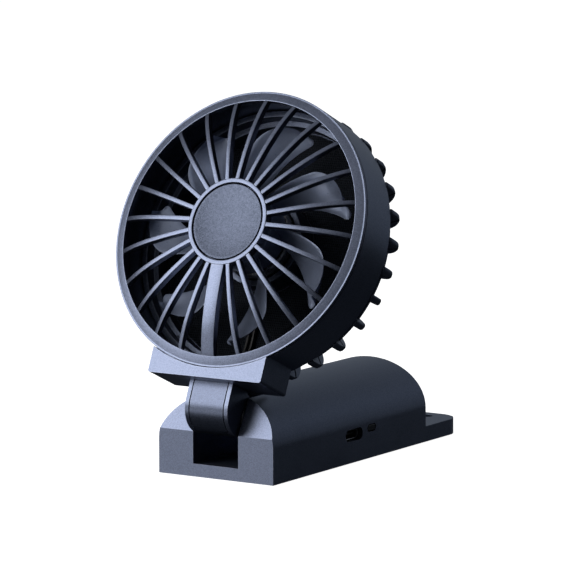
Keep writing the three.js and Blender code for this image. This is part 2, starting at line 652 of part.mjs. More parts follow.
function makeMotorCup() {
  const cup = turned([
    [0, CUP_BACK], [CUP_OUTER - 0.6, CUP_BACK], [CUP_OUTER, CUP_BACK + 0.6],
    [CUP_OUTER, CUP_FRONT], [CUP_INNER, CUP_FRONT], [CUP_INNER, MOTOR_BACK - GAP], [0, MOTOR_BACK - GAP],
  ], CAGE_STEPS);
  const leadNotch = box(
    -CHANNEL_HALF, CHANNEL_HALF, -CUP_OUTER - 1, -CUP_INNER + 1, BOWL_BACK - 0.2, -10,
  );
  const screwHoles = [-MOTOR_SCREW_X, MOTOR_SCREW_X].map((x) => (
    join(rodZ(1.1, -30, -20, x, 0), rodZ(2.1, -30, CUP_BACK + 1.2, x, 0))
  ));
  return cut(cup, leadNotch, ...screwHoles);
}

function addMotor() {
  const wall = MOTOR_RADIUS - 0.8;
  const can = turned([
    [3, MOTOR_FRONT], [MOTOR_RADIUS - 0.5, MOTOR_FRONT], [MOTOR_RADIUS, MOTOR_FRONT - 0.5],
    [MOTOR_RADIUS, MOTOR_BACK + 1.3], [wall, MOTOR_BACK + 1.3], [wall, MOTOR_FRONT - 0.8],
    [3, MOTOR_FRONT - 0.8], [3, MOTOR_FRONT],
  ], MIDDLE_STEPS);
  place(disc, 'motor_can', can, nickel);
  place(disc, 'motor_magnet', ring(9.3, wall - GAP, -20, -12.2, MIDDLE_STEPS), ferrite);
  const plate = cut(
    rodZ(MOTOR_RADIUS, MOTOR_BACK, MOTOR_BACK + 1, 0, 0, MIDDLE_STEPS),
    rodZ(SHAFT_RADIUS + GAP, -30, -10),
    ...[-MOTOR_SCREW_X, MOTOR_SCREW_X].map((x) => rodZ(1.1, -30, -10, x, 0)),
  );
  place(disc, 'motor_end_plate', plate, darkPlastic);
  const bush = ring(SHAFT_RADIUS + GAP, 2.7, MOTOR_FRONT - 0.6, MOTOR_FRONT + 1, SMALL_STEPS);
  place(disc, 'motor_bush', bush, brass);
  [-MOTOR_SCREW_X, MOTOR_SCREW_X].forEach((x, i) => {
    const screw = makeScrew(1.8, 0.8, 0.8, 3.4).translate([x, 0, CUP_BACK + 0.1]);
    place(disc, `motor_screw_${i + 1}`, screw, steel);
  });
  place(disc, 'motor_armature', ring(SHAFT_RADIUS + GAP, 8.8, -19.4, -13.4, MIDDLE_STEPS), copper);
  place(disc, 'motor_shaft', rodZ(SHAFT_RADIUS, MOTOR_BACK + 0.2, -0.2), steel);
}

// One sickle-shaped blade: a subdivided plate bent into place. Along its first direction it runs
// from hub to tip, along its second from the leading edge, swept ahead, to the trailing edge.
function makeBlade() {
  const geometry = new THREE.BoxGeometry(1, 1, 1, 7, 4, 1);
  const position = geometry.attributes.position;
  const root = IMPELLER_HUB_RADIUS - 0.5;
  for (let i = 0; i < position.count; i += 1) {
    const span = position.getX(i) + 0.5;
    const chord = position.getY(i) + 0.5;
    const side = position.getZ(i);
    const radius = root + span * (BLADE_TIP_RADIUS - root);
    const rounding = Math.max(0, (span - 0.7) / 0.3);
    const leading = 26 - 28 * span;
    const trailing = 47 - 21 * span - 20 * (1 - Math.sqrt(Math.max(0, 1 - rounding * rounding)));
    const angle = THREE.MathUtils.degToRad(leading + chord * (trailing - leading));
    const rise = (7.2 - 2 * span) * chord ** 1.35;
    const depth = -9.1 + 0.8 * span + rise + side * BLADE_THICKNESS * (1 - 0.35 * span);
    position.setXYZ(i, radius * Math.cos(angle), radius * Math.sin(angle), depth);
  }
  return toSolid(geometry);
}

function makeImpeller() {
  const skirt = IMPELLER_HUB_RADIUS - 1;
  let impeller = turned([
    [0, 2], [7.5, 1.75], [10.8, 0.8], [IMPELLER_HUB_RADIUS, -0.6], [IMPELLER_HUB_RADIUS, -9.6],
    [skirt, -9.6], [skirt, -0.8], [9.8, 0], [2.6, 0.6], [2.6, -8.2], [SHAFT_RADIUS + GAP, -8.2],
    [SHAFT_RADIUS + GAP, 0.1], [0, 0.1],
  ], 42);
  const blade = makeBlade();
  for (let i = 0; i < BLADE_COUNT; i += 1) {
    impeller = impeller.add(blade.rotate([0, 0, -38.6 + (i * 360) / BLADE_COUNT]));
  }
  return impeller;
}

// Leads from the motor down to the arm, where they turn in towards the hinge.
function addMotorLeads() {
  [0.9, -0.9].forEach((x, i) => {
    const route = new THREE.CatmullRomCurve3([
      new THREE.Vector3(x, -CUP_INNER - 0.1, -20.4),
      new THREE.Vector3(x, -20, -20.5),
      new THREE.Vector3(x, -34, -20.4),
      new THREE.Vector3(x, -37, -18.8),
      new THREE.Vector3(x, -37.6, -14.5),
      new THREE.Vector3(x, -38.8, -11.4),
      new THREE.Vector3(x, -41, -10.4),
      new THREE.Vector3(x, -44, -10.3),
      new THREE.Vector3(x, 5.6 - HEAD_RISE, -10.3),
    ], false, 'centripetal');
    const section = new THREE.Shape();
    section.absarc(0, 0, 0.6, 0, 2 * Math.PI, false);
    const options = { steps: 20, extrudePath: route, curveSegments: 3, bevelEnabled: false };
    place(disc, `motor_lead_${i + 1}`, toSolid(new THREE.ExtrudeGeometry(section, options)), blackRubber);
  });
}

// ---- assembly ----

const handleOutside = handleBody();
place(fan, 'handle_shell', makeHandleShell(handleOutside), slatePaint);
place(fan, 'bottom_cover', makeBottomCover(), slatePaint);
addCoverScrews();
addElectronics();
addBattery();
place(fan, 'led_window', makeLedWindow(), smokedPlastic);
place(fan, 'power_button', makePowerButton(), slatePaint);
addHinge(handleOutside);

place(head, 'hinge_arm', makeHingeArm(), slatePaint);
place(head, 'arm_panel', armFrontStrip(PANEL_HALF, PANEL_DEPTH, ARM_TOP, PANEL_BACK), paleSlate);
place(disc, 'rear_housing', makeRearHousing(), slatePaint);
addArmScrews();
place(disc, 'front_grille', makeFrontGrille(), paleSlate);
place(disc, 'hub_cap', makeHubCap(), slatePaint);
place(disc, 'rear_ring', makeRearRing(), slatePaint);
place(disc, 'rear_grille', makeRearGrille(), slatePaint);
place(disc, 'dust_filter', makeDustFilter(), meshBlack);
place(disc, 'motor_cup', makeMotorCup(), slatePaint);
addMotor();
place(disc, 'impeller', makeImpeller(), bladeSlate);
addMotorLeads();

export default fan;
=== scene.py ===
"""Looks of a folding handheld fan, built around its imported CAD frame.

Shapes are given in millimetres, either in the disc's own axes (x right, y up across the disc, z along
the fan's axis with 0 at the rim's front edge) or in the row frame, and are turned into metres.
"""

import json
import math

import bmesh
import bpy
from mathutils import Matrix, Vector


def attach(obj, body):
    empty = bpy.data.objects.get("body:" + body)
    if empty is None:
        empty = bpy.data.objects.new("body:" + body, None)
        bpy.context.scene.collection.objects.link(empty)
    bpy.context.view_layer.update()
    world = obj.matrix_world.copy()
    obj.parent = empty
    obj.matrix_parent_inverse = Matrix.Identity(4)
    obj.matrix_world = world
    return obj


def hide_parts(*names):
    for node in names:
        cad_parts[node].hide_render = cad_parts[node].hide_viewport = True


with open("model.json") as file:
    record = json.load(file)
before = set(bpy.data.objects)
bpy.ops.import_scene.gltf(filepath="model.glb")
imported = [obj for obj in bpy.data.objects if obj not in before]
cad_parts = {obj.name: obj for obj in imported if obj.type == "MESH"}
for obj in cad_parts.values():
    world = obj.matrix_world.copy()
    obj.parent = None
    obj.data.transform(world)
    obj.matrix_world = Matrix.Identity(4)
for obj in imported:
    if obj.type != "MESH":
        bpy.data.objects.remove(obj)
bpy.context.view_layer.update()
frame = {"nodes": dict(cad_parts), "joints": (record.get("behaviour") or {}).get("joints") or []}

MM = 0.001

# ---- the fan head, in the disc's axes, millimetres and degrees ----
SPIN_DEPTH = 5.0  # the rotor joint's point lies this far behind the rim's front edge
HEAD_RADIUS = 44.4
OPENING_RADIUS = 41.1
HOUSING_INNER = 42.7
HOUSING_BACK = -16.2
FIT_GAP = 0.3  # left between pieces that touch

LIP_WIDTH = 0.55  # the flat lip around the rim
LIP_FRONT = -0.45
OPENING_FRONT = 0.5  # the rim's height at its opening
RIM_BACK = -1.5
SKIRT_BACK = -2.6  # the rim's skirt reaches into the housing

HUB_OUTER = 13.97
HUB_INNER = 12.5
HUB_FRONT = 6.6
HUB_FLOOR = 4.3
HUB_BACK = 3.6

SPOKE_COUNT = 24  # the wide bar takes the place of one
SPOKE_WIDTH = 1.4
WIDE_BAR_WIDTH = 4.6
WIDE_BAR_ANGLE = -90
SPOKE_DEPTH = 2.2
SPOKE_OVERLAP = (0.6, 0.4)  # how far a spoke runs into the hub and into the rim
# curves of a spoke's two faces: the control radius, then heights at the hub, control and rim
SPOKE_TOP = (32, HUB_FRONT - 0.1, HUB_FRONT - 0.8, 0.25)
SPOKE_UNDER = (31, HUB_FRONT - SPOKE_DEPTH, HUB_FRONT - 1.4 - SPOKE_DEPTH, -1.6)

CAP_RADIUS = 12.18
CAP_INSET = 0.1  # the hub cap's edge lies this far behind the hub's front
CAP_DISH = 0.85  # hollow in the middle of the hub cap
CAP_BACK = 4.6

FIN_COUNT = 30
FIN_FIRST = 5.6
FIN_WIDTH = 2.1
FIN_OUTER = 44.8
FIN_FOOT = 39.6  # the side fins start inside the bowl's wall
FIN_FRONT_ROUND = 0.4
# layers across a fin: (share of half its width, how far its outline is drawn in)
FIN_LAYERS = ((-1, 0.4), (-0.7, 0.12), (-0.45, 0), (0.45, 0), (0.7, 0.12), (1, 0.4))
CAGE_BACK = -27.0
CAGE_CORNER = 7.2
SPIGOT = (40.4, 42.4)
SPIGOT_FRONT = -12.5
SHOULDER = HOUSING_BACK - 1.3  # where the spigot narrows to the bowl
BOWL = (38.6, 40.6)
BOWL_BACK = -21.9
PLATE = (-22.2, -23.2)
PLATE_INNER = 14.7
INTAKE = (17.0, 31.0)
INTAKE_WIDTH = 1.4

CUP_OUTER = 14.4
CUP_INNER = 12.5
CUP_FRONT = -14
CUP_FLOOR = -23.2
CUP_BACK = -25.2
CUP_BEAD = 0.25  # closes the gap to the back plate
CUP_BEAD_DEPTHS = (-23, -22.8, -22, -21.8)

BLADE_COUNT = 7
BLADE_FIRST = -38.6
BLADE_ROOT = 11.3
BLADE_TIP = 35.2
BLADE_THICKNESS = 1.1
BLADE_THINNING = 0.35  # share of the thickness lost by the tip
BLADE_DEPTH = (-9.1, 0.8)  # the leading edge's depth at the root, and how far it rises by the tip
BLADE_PITCH = (7.2, 2)  # rise from edge to edge at the root, and how much of it is lost by the tip
BLADE_CAMBER = 1.35
# edges of a blade: angle at the root, turn back by the tip, turn in its rounded end, share of that end
LEADING_EDGE = (26, 28, 5, 0.1)
TRAILING_EDGE = (47, 21, -20, 0.3)
IMPELLER_HUB = 11.8
IMPELLER_BACK = -9.6
IMPELLER_WALL = 1
BOSS_RADIUS = 2.6
BOSS_BACK = -8.2
SHAFT_BORE = 1.3

# ---- fineness ----
RIM_STEPS = 180
TURNED_STEPS = 120
IMPELLER_STEPS = 96
SPOKE_STATIONS = 18
CAP_RINGS = 12
SLOT_END_STEPS = 8
SLOT_SIDE_STEPS = 10
BLADE_SPANS = 30
BLADE_CHORDS = 22

# ---- edges ----
ROUND_SEGMENTS = 2
ROUND_LIMIT = 25  # degrees: flatter edges aren't rounded
WELD_REACH = 0.005  # millimetres: joins the CAD triangles' shared corners
FLAT_LIMIT = 0.4  # degrees: flatter edges between CAD triangles are dissolved
SCREW_ROUND = 0.08  # millimetres


# ---- placing ----


def joint(name):
    return next(j for j in frame["joints"] if j["name"] == name)


def disc_matrix():
    """From the disc's axes in millimetres to the row frame in metres, at rest."""
    spin = joint("rotor_spin")
    forward = Vector(spin["axis"]).normalized()
    right = Vector((1, 0, 0))
    up = forward.cross(right)
    origin = Vector(spin["pos_m"]) + forward * SPIN_DEPTH * MM
    turn = Matrix((right, up, forward)).transposed().to_4x4()
    return Matrix.Translation(origin) @ turn @ Matrix.Scale(MM, 4)


DISC = disc_matrix()


# ---- shapes ----


def fillet(points, radii, steps=4):
    """A closed outline with its corners rounded: one radius for each point, 0 for a sharp one."""
    outline = []
    count = len(points)
    for i, radius in enumerate(radii):
        corner = Vector(points[i])
        to_last = Vector(points[i - 1]) - corner
        to_next = Vector(points[(i + 1) % count]) - corner
        if radius == 0 or to_last.length < 1e-9 or to_next.length < 1e-9:
            outline.append(corner)
            continue
        half = to_last.angle(to_next) / 2
        reach = radius / math.tan(half)
        start = corner + to_last.normalized() * reach
        end = corner + to_next.normalized() * reach
        inwards = (to_last.normalized() + to_next.normalized()).normalized()
        middle = corner + inwards * radius / math.sin(half)
        for k in range(steps + 1):
            spoke = (start - middle).lerp(end - middle, k / steps)
            outline.append(middle + spoke.normalized() * radius)
    return outline


def lathe(bm, profile, steps):
    """Turns an outline of (radius, height) points about Z. Points on the axis become poles."""
    rings = []
    for radius, height in profile:
        if radius < 1e-6:
            rings.append([bm.verts.new((0, 0, height))] * steps)
            continue
        turn = 2 * math.pi / steps
        rings.append([
            bm.verts.new((radius * math.cos(k * turn), radius * math.sin(k * turn), height))
            for k in range(steps)
        ])
    for i, ring in enumerate(rings):
        other = rings[(i + 1) % len(rings)]
        if ring[0] is ring[1] and other[0] is other[1]:
            continue
        for k in range(steps):
            face_from(bm, ring[k], ring[(k + 1) % steps], other[(k + 1) % steps], other[k])


def face_from(bm, *corners):
    """A face through these vertices, with repeated ones left out."""
    different = list(dict.fromkeys(corners))
    if len(different) > 2:
        bm.faces.new(different)


def loft(bm, loops):
    """Joins loops of equally many points by quads, closes the ends and returns the vertices."""
    rows = [[bm.verts.new(p) for p in loop] for loop in loops]
    count = len(rows[0])
    for row, other in zip(rows, rows[1:]):
        for k in range(count):
            face_from(bm, row[k], row[(k + 1) % count], other[(k + 1) % count], other[k])
    bm.faces.new(rows[0])
    bm.faces.new(rows[-1])
    return [vert for row in rows for vert in row]


def turned_copies(bm, verts, angles):
    """Turns these vertices and their faces about Z to the first angle, and a copy to each other one."""
    wanted = set(verts)
    geometry = list(verts) + [f for f in bm.faces if set(f.verts) <= wanted]
    sets = [verts]
    for _ in angles[1:]:
        made = bmesh.ops.duplicate(bm, geom=geometry)["geom"]
        sets.append([g for g in made if isinstance(g, bmesh.types.BMVert)])
    for moved, angle in zip(sets, angles):
        turn = Matrix.Rotation(math.radians(angle), 3, "Z")
        bmesh.ops.rotate(bm, cent=(0, 0, 0), matrix=turn, verts=moved)


def piece(name, bm, body, material, replaces, sharp=32):
    """Makes the mesh in bm, built in the disc's axes, a finished piece in place of CAD nodes."""
    bmesh.ops.recalc_face_normals(bm, faces=bm.faces)
    bm.transform(DISC)
    mesh = bpy.data.meshes.new(name)
    bm.to_mesh(mesh)
    bm.free()
    mesh.materials.append(material)
    mesh.shade_smooth()
    mesh.set_sharp_from_angle(angle=math.radians(sharp))
    made = bpy.data.objects.new(name, mesh)
    bpy.context.scene.collection.objects.link(made)
    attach(made, body)
    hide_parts(*replaces)


def round_edges(made, width):
    """A fine round of this width in millimetres along every edge sharper than the limit."""
    bevel = made.modifiers.new("round_edges", "BEVEL")
    bevel.width = width * MM
    bevel.segments = ROUND_SEGMENTS
    bevel.limit_method = "ANGLE"
    bevel.angle_limit = math.radians(ROUND_LIMIT)
    bevel.use_clamp_overlap = True
    weighted = made.modifiers.new("flat_shading", "WEIGHTED_NORMAL")
    weighted.weight = 100


# ---- materials ----

PAINT_METALLIC = 0.92
PLASTIC_GRAIN = 0.02  # millimetres
# reach and strength of the painted highlight along edges
EDGE_HIGHLIGHT_REACH = 0.35  # millimetres
EDGE_HIGHLIGHT_STRENGTH = 0.45


def node(tree, kind, settings=None, **inputs):
    """Adds a node. Inputs are constants or other nodes' outputs, by name or by number, such as _0."""
    made = tree.nodes.new(kind)
    for key, value in (settings or {}).items():
        setattr(made, key, value)
    for key, value in inputs.items():
        socket = made.inputs[int(key[1:]) if key[0] == "_" else key.replace("_", " ")]
        if isinstance(value, bpy.types.NodeSocket):
            tree.links.new(value, socket)
        else:
            socket.default_value = value
    return made


def new_material(name, **constants):
    """A Principled material with these constants on its shader's own sockets."""
    material = bpy.data.materials.new(name)
    material.use_nodes = True
    tree = material.node_tree
    tree.nodes.clear()
    shader = node(tree, "ShaderNodeBsdfPrincipled", **constants)
    node(tree, "ShaderNodeOutputMaterial", Surface=shader.outputs[0])
    return material, tree, shader


def millimetres(tree, stretch=(1, 1, 1)):
    """Object coordinates counted in millimetres."""
    place = node(tree, "ShaderNodeTexCoord")
    scale = tuple(s / MM for s in stretch)
    return node(tree, "ShaderNodeMapping", Vector=place.outputs["Object"], Scale=scale).outputs[0]


def noise(tree, where, scale, detail=2.0, roughness=0.5, distortion=0.0):
    made = node(
        tree, "ShaderNodeTexNoise", Vector=where, Scale=scale, Detail=detail, Roughness=roughness,
        Distortion=distortion,
    )
    return made.outputs[0]


def cells(tree, where, scale):
    return node(tree, "ShaderNodeTexVoronoi", Vector=where, Scale=scale)


def spread(tree, value, low, high, start=0.0, end=1.0):
    """Maps value from start..end to low..high."""
    made = node(
        tree, "ShaderNodeMapRange", Value=value, From_Min=start, From_Max=end, To_Min=low, To_Max=high,
    )
    return made.outputs[0]


def maths(tree, operation, a, b):
    return node(tree, "ShaderNodeMath", {"operation": operation}, _0=a, _1=b).outputs[0]


def weighed(tree, a, share_a, b, share_b):
    """The sum of two values, each times its share."""
    first = maths(tree, "MULTIPLY", a, share_a)
    return maths(tree, "ADD", first, maths(tree, "MULTIPLY", b, share_b))


def blend_colour(tree, factor, dark, light):
    made = node(tree, "ShaderNodeMix", {"data_type": "RGBA"}, Factor=factor)
    for socket, value in ((made.inputs[6], dark), (made.inputs[7], light)):
        if isinstance(value, bpy.types.NodeSocket):
            tree.links.new(value, socket)
        else:
            socket.default_value = (*value, 1)
    return made.outputs[2]


def bump(tree, height, strength, depth):
    """A bump of this depth in millimetres."""
    made = node(tree, "ShaderNodeBump", Height=height, Strength=strength, Distance=depth * MM)
    return made.outputs[0]


def feed(tree, shader, colour, roughness, normal):
    """Links a material's colour, roughness and bump to its shader."""
    tree.links.new(colour, shader.inputs["Base Color"])
    tree.links.new(roughness, shader.inputs["Roughness"])
    tree.links.new(normal, shader.inputs["Normal"])


def edge_highlight_mask(tree, where):
    """Near 1 along the edges, 0 on the faces, for a painted highlight along the edges: a rounded normal
    is compared with the true one.
    """
    rounded = node(tree, "ShaderNodeBevel", {"samples": 4}, Radius=EDGE_HIGHLIGHT_REACH * MM).outputs[0]
    plain = node(tree, "ShaderNodeNewGeometry").outputs["Normal"]
    same = node(tree, "ShaderNodeVectorMath", {"operation": "DOT_PRODUCT"}, _0=rounded, _1=plain)
    edge = spread(tree, same.outputs["Value"], 1.0, 0.0, 0.86, 0.995)
    patchy = spread(tree, noise(tree, where, 0.9, 4.0, 0.6), 0.15, 1.0, 0.42, 0.62)
    return maths(tree, "MULTIPLY", edge, patchy)


def metal_paint(name, dark, light, edge, roughness, grain=0.012, flake=4.5):
    """Satin metallic paint: a slow change of tone, fine flakes, a sandy grain, and a painted highlight
    along the edges in a paler colour.
    """
    material, tree, shader = new_material(name, Metallic=PAINT_METALLIC)
    where = millimetres(tree)
    tone = spread(tree, noise(tree, where, 0.055, 3.0), 0.0, 1.0, 0.3, 0.7)
    grit = cells(tree, where, flake).outputs["Color"]
    sparkle = node(tree, "ShaderNodeSeparateColor", Color=grit).outputs[0]
    body = blend_colour(tree, weighed(tree, tone, 0.3, sparkle, 0.7), dark, light)
    # painted highlight: the edges are turned towards the paler edge colour
    highlighted = maths(tree, "MULTIPLY", edge_highlight_mask(tree, where), EDGE_HIGHLIGHT_STRENGTH)
    colour = blend_colour(tree, highlighted, body, edge)
    uneven = weighed(tree, sparkle, 0.6, tone, 0.4)
    satin = spread(tree, uneven, roughness - 0.05, roughness + 0.07)
    sand = noise(tree, where, 3.6, 3.0, 0.6)
    feed(tree, shader, colour, satin, bump(tree, sand, 0.6, grain))
    return material


def moulded_plastic(name, dark, light, roughness, coat=0.0, metallic=0.0):
    """Moulded plastic with faint flow marks and a fine texture."""
    material, tree, shader = new_material(name, Metallic=metallic, Coat_Weight=coat)
    where = millimetres(tree)
    flow = noise(tree, where, 0.12, 4.0, 0.55, 1.5)
    speck = noise(tree, where, 3.0, 2.0)
    mixed = weighed(tree, flow, 0.6, speck, 0.4)
    colour = blend_colour(tree, mixed, dark, light)
    sheen = spread(tree, mixed, roughness - 0.06, roughness + 0.06, 0.3, 0.7)
    feed(tree, shader, colour, sheen, bump(tree, speck, 0.4, PLASTIC_GRAIN))
    return material


def brushed_metal(name, dark, light, roughness, stretch):
    """Drawn or turned metal: long fine scratches along one direction."""
    material, tree, shader = new_material(name, Metallic=1.0)
    streak = noise(tree, millimetres(tree, stretch), 3.0, 4.0, 0.65)
    stain = noise(tree, millimetres(tree), 0.35, 3.0)
    colour = blend_colour(tree, weighed(tree, streak, 0.7, stain, 0.3), dark, light)
    sheen = spread(tree, streak, roughness - 0.08, roughness + 0.12, 0.3, 0.7)
    feed(tree, shader, colour, sheen, bump(tree, streak, 0.3, 0.01))
    return material


def circuit_board():
    """Green solder mask over copper tracks, with small pads."""
    material, tree, shader = new_material("circuit_board", Coat_Weight=0.4)
    where = millimetres(tree)
    brick = node(tree, "ShaderNodeTexBrick", Vector=where, Scale=0.5, Mortar_Size=0.03)
    track = brick.outputs["Fac"]
    pads = spread(tree, cells(tree, where, 0.32).outputs["Distance"], 1.0, 0.0, 0.12, 0.16)
    tone = noise(tree, where, 0.4, 3.0)
    mask = blend_colour(tree, tone, (0.006, 0.07, 0.03), (0.012, 0.11, 0.05))
    tracks = blend_colour(tree, track, mask, (0.03, 0.2, 0.09))
    colour = blend_colour(tree, pads, tracks, (0.6, 0.58, 0.5))
    feed(tree, shader, colour, spread(tree, pads, 0.42, 0.25), bump(tree, track, 0.5, 0.03))
    return material


def sintered(name, dark, light, roughness, metallic):
    """Pressed powder: ferrite or porous bronze, with small pits."""
    material, tree, shader = new_material(name, Metallic=metallic)
    where = millimetres(tree)
    grains = cells(tree, where, 4.0).outputs["Color"]
    tone = node(tree, "ShaderNodeSeparateColor", Color=grains).outputs[0]
    pits = spread(tree, noise(tree, where, 2.5, 5.0, 0.7), 0.0, 1.0, 0.35, 0.6)
    mixed = maths(tree, "MULTIPLY", tone, pits)
    colour = blend_colour(tree, mixed, dark, light)
    sheen = spread(tree, mixed, roughness + 0.1, roughness - 0.1)
    feed(tree, shader, colour, sheen, bump(tree, pits, 0.6, 0.04))
    return material


def copper_winding():
    """Enamelled wire in neat turns over dark laminations."""
    material, tree, shader = new_material("copper_winding", Metallic=0.9)
    where = millimetres(tree)
    turns = node(
        tree, "ShaderNodeTexWave", {"wave_type": "RINGS", "rings_direction": "X"},
        Vector=where, Scale=0.9, Distortion=0.6, Detail=2.0,
    ).outputs["Fac"]
    colour = blend_colour(tree, turns, (0.16, 0.05, 0.02), (0.62, 0.27, 0.12))
    feed(tree, shader, colour, spread(tree, turns, 0.5, 0.28), bump(tree, turns, 0.8, 0.12))
    return material


def foil():
    """Laminated pouch foil with soft creases."""
    material, tree, shader = new_material("pouch_foil", Metallic=0.85)
    where = millimetres(tree)
    crease = noise(tree, where, 0.28, 5.0, 0.62, 1.2)
    colour = blend_colour(tree, crease, (0.42, 0.43, 0.45), (0.72, 0.73, 0.75))
    sheen = spread(tree, crease, 0.24, 0.44, 0.3, 0.7)
    feed(tree, shader, colour, sheen, bump(tree, crease, 0.7, 0.3))
    return material


def foam():
    """Open-cell foam: pores of about half a millimetre."""
    material, tree, shader = new_material("foam", Sheen_Weight=0.2)
    where = millimetres(tree)
    pores = cells(tree, where, 1.9).outputs["Distance"]
    colour = blend_colour(tree, pores, (0.03, 0.03, 0.033), (0.16, 0.16, 0.165))
    feed(tree, shader, colour, spread(tree, pores, 0.98, 0.85), bump(tree, pores, 0.9, 0.3))
    return material


def woven_mesh():
    """Fine black dust mesh: two crossed sets of threads."""
    material, tree, shader = new_material("filter_mesh", Roughness=0.9, Specular_IOR_Level=0.15)
    where = millimetres(tree)
    threads = [
        node(
            tree, "ShaderNodeTexWave", {"bands_direction": axis},
            Vector=where, Scale=0.45, Distortion=0.1,
        ).outputs["Fac"]
        for axis in ("X", "Z")
    ]
    woven = maths(tree, "MAXIMUM", *threads)
    colour = blend_colour(tree, woven, (0.002, 0.003, 0.005), (0.012, 0.016, 0.024))
    feed(tree, shader, colour, spread(tree, woven, 0.95, 0.7), bump(tree, woven, 0.8, 0.15))
    return material


def make_materials():
    # the third colour of each slate paint is its painted edge highlight
    shell = ((0.105, 0.125, 0.178), (0.2, 0.226, 0.315), (0.5, 0.54, 0.66), 0.34)
    return {
        "shell": metal_paint("slate_shell", *shell),
        "front": metal_paint("slate_front", *shell),
        "panel": metal_paint(
            "slate_panel", (0.08, 0.094, 0.135), (0.15, 0.172, 0.242), (0.4, 0.43, 0.52), 0.34,
        ),
        "rear": metal_paint(
            "slate_rear", (0.085, 0.1, 0.138), (0.165, 0.188, 0.26), (0.4, 0.43, 0.52), 0.42,
        ),
        "cap": metal_paint(
            "slate_cap", (0.033, 0.04, 0.058), (0.078, 0.09, 0.128), (0.3, 0.33, 0.42), 0.27,
            grain=0.035, flake=2.6,
        ),
        "blade": moulded_plastic(
            "blade_plastic", (0.18, 0.212, 0.3), (0.32, 0.37, 0.515), 0.32,
            coat=0.3, metallic=0.4,
        ),
        "board": circuit_board(),
        "nickel": brushed_metal("nickel", (0.36, 0.36, 0.37), (0.6, 0.6, 0.61), 0.3, (1, 1, 0.1)),
        "steel": brushed_metal("steel", (0.4, 0.41, 0.43), (0.66, 0.67, 0.69), 0.3, (0.15, 1, 1)),
        "dark_plastic": moulded_plastic(
            "dark_plastic", (0.012, 0.0125, 0.014), (0.028, 0.029, 0.032), 0.5,
        ),
        "smoked": moulded_plastic(
            "smoked_window", (0.008, 0.009, 0.012), (0.022, 0.025, 0.032), 0.2, coat=0.6,
        ),
        "milky": moulded_plastic("milky_plastic", (0.6, 0.62, 0.64), (0.8, 0.82, 0.84), 0.3),
        "ferrite": sintered("ferrite", (0.02, 0.019, 0.019), (0.075, 0.07, 0.068), 0.72, 0.2),
        "bronze": sintered("bronze_bush", (0.3, 0.2, 0.08), (0.6, 0.43, 0.18), 0.42, 1.0),
        "copper": copper_winding(),
        "foil": foil(),
        "foam": foam(),
        "filter": woven_mesh(),
        "black_lead": moulded_plastic(
            "black_lead", (0.008, 0.008, 0.009), (0.02, 0.02, 0.022), 0.45,
        ),
    }


MATERIALS = make_materials()


# ---- front grille ----


def make_rim(bm):
    lip, skirt = HEAD_RADIUS - LIP_WIDTH, HOUSING_INNER - FIT_GAP
    corners = [
        (HEAD_RADIUS, RIM_BACK), (HEAD_RADIUS, LIP_FRONT), (lip, LIP_FRONT),
        (OPENING_RADIUS, OPENING_FRONT), (OPENING_RADIUS, SKIRT_BACK), (skirt, SKIRT_BACK),
        (skirt, RIM_BACK),
    ]
    lathe(bm, fillet(corners, [0.15, 0.12, 0.08, 0.2, 0.3, 0.2, 0]), RIM_STEPS)


def make_hub(bm):
    corners = [
        (HUB_OUTER, HUB_BACK), (HUB_OUTER, HUB_FRONT), (HUB_INNER, HUB_FRONT),
        (HUB_INNER, HUB_FLOOR), (0, HUB_FLOOR), (0, HUB_BACK),
    ]
    lathe(bm, fillet(corners, [0.3, 0.28, 0.2, 0.2, 0, 0]), TURNED_STEPS)


def dome(curve, inner, outer, t):
    """A point of the quadratic curve that a spoke's face follows, as (radius, height)."""
    middle, *heights = curve
    rows = ((inner, middle, outer), heights)
    return [(1 - t) ** 2 * a + 2 * t * (1 - t) * b + t * t * c for a, b, c in rows]


def make_spoke(bm, width):
    """A bar from the hub out to the rim along X, with rounded long edges."""
    inner, outer = HUB_OUTER - SPOKE_OVERLAP[0], OPENING_RADIUS + SPOKE_OVERLAP[1]
    half = width / 2
    loops = []
    for i in range(SPOKE_STATIONS + 1):
        t = i / SPOKE_STATIONS
        radius, top = dome(SPOKE_TOP, inner, outer, t)
        _, under = dome(SPOKE_UNDER, inner, outer, t)
        corners = [(-half, under), (half, under), (half, top), (-half, top)]
        section = fillet(corners, [0.22, 0.22, 0.15, 0.15], 3)
        loops.append([(radius, side, height) for side, height in section])
    return loft(bm, loops)


def make_front_grille():
    bm = bmesh.new()
    make_rim(bm)
    make_hub(bm)
    step = 360 / SPOKE_COUNT
    angles = [WIDE_BAR_ANGLE + i * step for i in range(SPOKE_COUNT)]
    turned_copies(bm, make_spoke(bm, SPOKE_WIDTH), angles[1:])
    turned_copies(bm, make_spoke(bm, WIDE_BAR_WIDTH), angles[:1])
    piece("grille_front", bm, "fan_head", MATERIALS["front"], ["front_grille"])


def make_hub_cap():
    bm = bmesh.new()
    edge = HUB_FRONT - CAP_INSET
    inwards = [1 - i / CAP_RINGS for i in range(1, CAP_RINGS + 1)]
    top = [(CAP_RADIUS * share, edge - CAP_DISH * (1 - share ** 2)) for share in inwards]
    corners = [(CAP_RADIUS, CAP_BACK), (CAP_RADIUS, edge), (CAP_RADIUS - 2, edge - 0.25)]
    rounded = [tuple(p) for p in fillet(corners, [0, 0.3, 0])[1:-1]]
    lathe(bm, [(0, CAP_BACK), (CAP_RADIUS, CAP_BACK), *rounded, *top], TURNED_STEPS)
    piece("cap_front", bm, "fan_head", MATERIALS["cap"], ["hub_cap"], 50)


# ---- rear cage ----


def inset_outline(outline, distance):
    """The outline moved inwards by a small distance."""
    if distance == 0:
        return [tuple(p) for p in outline]
    count = len(outline)
    moved = []
    for i, point in enumerate(outline):
        before = point - outline[i - 1]
        after = outline[(i + 1) % count] - point
        along = before.normalized() + after.normalized()
        normal = Vector((-along.y, along.x)).normalized()
        moved.append(tuple(point + normal * distance))
    return moved


